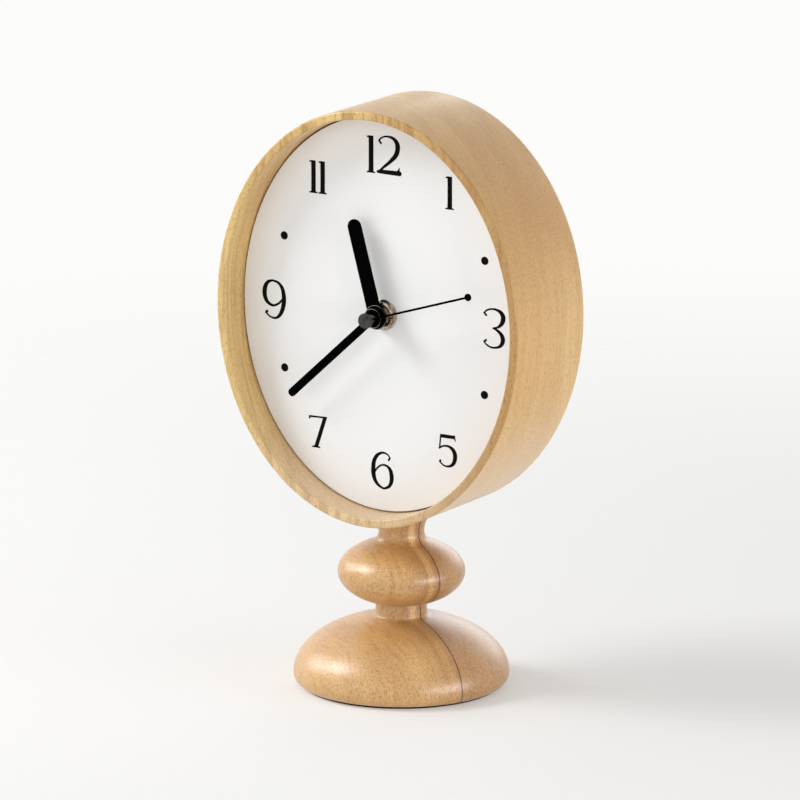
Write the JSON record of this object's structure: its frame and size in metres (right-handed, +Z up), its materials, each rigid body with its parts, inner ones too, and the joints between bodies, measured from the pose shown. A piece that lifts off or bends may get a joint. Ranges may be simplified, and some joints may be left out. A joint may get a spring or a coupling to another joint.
{
  "type": "desk clock",
  "caption": "wooden desk clock: oval drum head on a turned pedestal, recessed white dial with numerals and three hands, battery movement behind it",
  "frame": {"origin": "centre of the flat pad the pedestal stands on, at table height", "axes": "+Z up along the pedestal's axis, the dial faces -Y, +X is the viewer's right"},
  "size_m": [0.1412, 0.088, 0.241],
  "materials": {
    "head_wood": "light rubberwood, satin lacquer",
    "pedestal_wood": "turned rubberwood, glued up, satin lacquer",
    "raw_wood": "unfinished wood",
    "board_fibre": "brown fibreboard",
    "dial_white": "matt white paint on fibreboard, black print",
    "pad_felt": "thin black felt",
    "hand_black": "satin black paint on aluminium",
    "cap_grey": "brushed dark grey",
    "hub_brass": "nickel-washed brass, worn",
    "zinc_steel": "zinc plated",
    "arbor_steel": "polished",
    "gasket_rubber": "matt",
    "case_plastic": "black moulding, fine texture",
    "bridge_plastic": "natural acetal",
    "gear_plastic": "natural acetal",
    "battery_jacket": "plain printed sleeve over steel can",
    "circuit_green": "solder resist",
    "chip_black": "epoxy drop",
    "coil_copper": "enamelled copper wire",
    "rotor_magnet": "sintered magnet on a moulded arbor"
  },
  "bodies": {
    "stand": {"head_ring": "head_wood", "pedestal": "pedestal_wood", "base_pad": "pad_felt", "joint_block": "raw_wood", "stem_washer": "zinc_steel", "stem_screw": "zinc_steel", "stem_dowels": "raw_wood", "back_board": "board_fibre", "dial_plate": "dial_white", "gasket": "gasket_rubber", "dial_washer": "hub_brass", "hand_nut": "hub_brass", "centre_bushing": "hub_brass", "movement_case": "case_plastic", "gear_bridge": "bridge_plastic", "movement_cover": "case_plastic", "movement_screws": "zinc_steel", "positive_contact": "zinc_steel", "negative_contact": "zinc_steel", "circuit_board": "circuit_green", "chip": "chip_black", "quartz_crystal": "arbor_steel", "stator": "arbor_steel", "coil_core": "arbor_steel", "coil_bobbin": "bridge_plastic", "coil_winding": "coil_copper"},
    "battery": {"battery_cell": "battery_jacket"},
    "second_group": {"seconds_wheel": "gear_plastic", "second_hand": "hand_black", "second_hand_cap": "cap_grey"},
    "rotor_group": {"rotor": "rotor_magnet"},
    "intermediate_group": {"intermediate_wheel": "gear_plastic"},
    "third_group": {"third_wheel": "gear_plastic"},
    "minute_wheel_group": {"minute_wheel": "gear_plastic"},
    "minute_group": {"cannon_pinion": "hub_brass", "minute_hand": "hand_black"},
    "motion_group": {"motion_wheel": "gear_plastic", "set_knob": "case_plastic"},
    "hour_group": {"hour_wheel": "gear_plastic", "hour_hand": "hand_black"}
  },
  "joints": [
    {"name": "battery_slide", "type": "slide", "parent": "stand", "child": "battery", "axis": [0, 1, 0], "range_m": [0, 0.042]},
    {"name": "second_hand_turn", "type": "hinge", "parent": "stand", "child": "second_group", "pos_m": [0, 0, 0.156], "axis": [0, 1, 0], "continuous": true},
    {"name": "rotor_turn", "type": "hinge", "parent": "stand", "child": "rotor_group", "pos_m": [0.0163, 0, 0.15184], "axis": [0, 1, 0], "continuous": true},
    {"name": "intermediate_turn", "type": "hinge", "parent": "stand", "child": "intermediate_group", "pos_m": [0.00945, 0, 0.15433], "axis": [0, 1, 0], "continuous": true},
    {"name": "third_wheel_turn", "type": "hinge", "parent": "stand", "child": "third_group", "pos_m": [0, 0, 0.1656], "axis": [0, 1, 0], "continuous": true},
    {"name": "minute_wheel_turn", "type": "hinge", "parent": "stand", "child": "minute_wheel_group", "pos_m": [0, 0, 0.156], "axis": [0, 1, 0], "continuous": true},
    {"name": "minute_hand_turn", "type": "hinge", "parent": "stand", "child": "minute_group", "pos_m": [0, 0, 0.156], "axis": [0, 1, 0], "continuous": true},
    {"name": "set_knob_turn", "type": "hinge", "parent": "stand", "child": "motion_group", "pos_m": [-0.00965, 0, 0.1543], "axis": [0, 1, 0], "continuous": true},
    {"name": "hour_hand_turn", "type": "hinge", "parent": "stand", "child": "hour_group", "pos_m": [0, 0, 0.156], "axis": [0, 1, 0], "continuous": true}
  ],
  "couplings": [
    {"joint": "rotor_turn", "follows": "second_hand_turn", "ratio": 30},
    {"joint": "intermediate_turn", "follows": "second_hand_turn", "ratio": -5},
    {"joint": "third_wheel_turn", "follows": "second_hand_turn", "ratio": -0.13333},
    {"joint": "minute_wheel_turn", "follows": "second_hand_turn", "ratio": 0.016667},
    {"joint": "set_knob_turn", "follows": "minute_hand_turn", "ratio": -0.33333},
    {"joint": "hour_hand_turn", "follows": "minute_hand_turn", "ratio": 0.083333}
  ]
}
